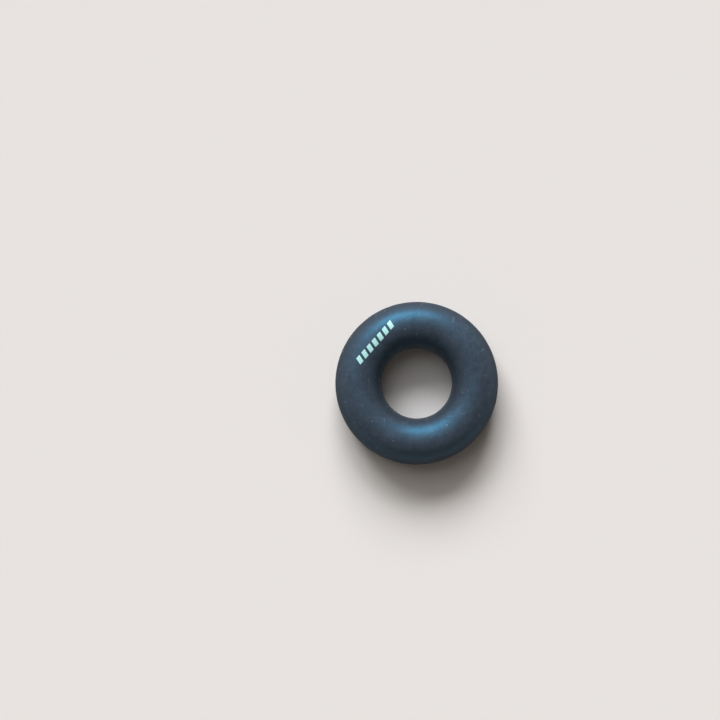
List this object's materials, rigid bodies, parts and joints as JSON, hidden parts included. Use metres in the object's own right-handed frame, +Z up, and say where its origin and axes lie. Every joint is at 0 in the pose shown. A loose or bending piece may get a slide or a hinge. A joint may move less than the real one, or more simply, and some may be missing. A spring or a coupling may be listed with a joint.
{
  "type": "hand grip strengthener",
  "caption": "Solid silicone hand grip ring with a round section, a fine parting line round its equators and a plain printed mark on its crest.",
  "frame": {"origin": "centre of the ring, on the axis of its bore and half way up its height", "axes": "+Z up through the bore, -Y the front, where the printed mark is, +X along the printed row"},
  "size_m": [0.0502, 0.0502, 0.0142],
  "materials": {
    "black_silicone": "matte",
    "pale_silicone_ink": "satin"
  },
  "bodies": {
    "root": {"silicone_ring": "black_silicone", "printed_mark": "pale_silicone_ink"}
  },
  "joints": []
}
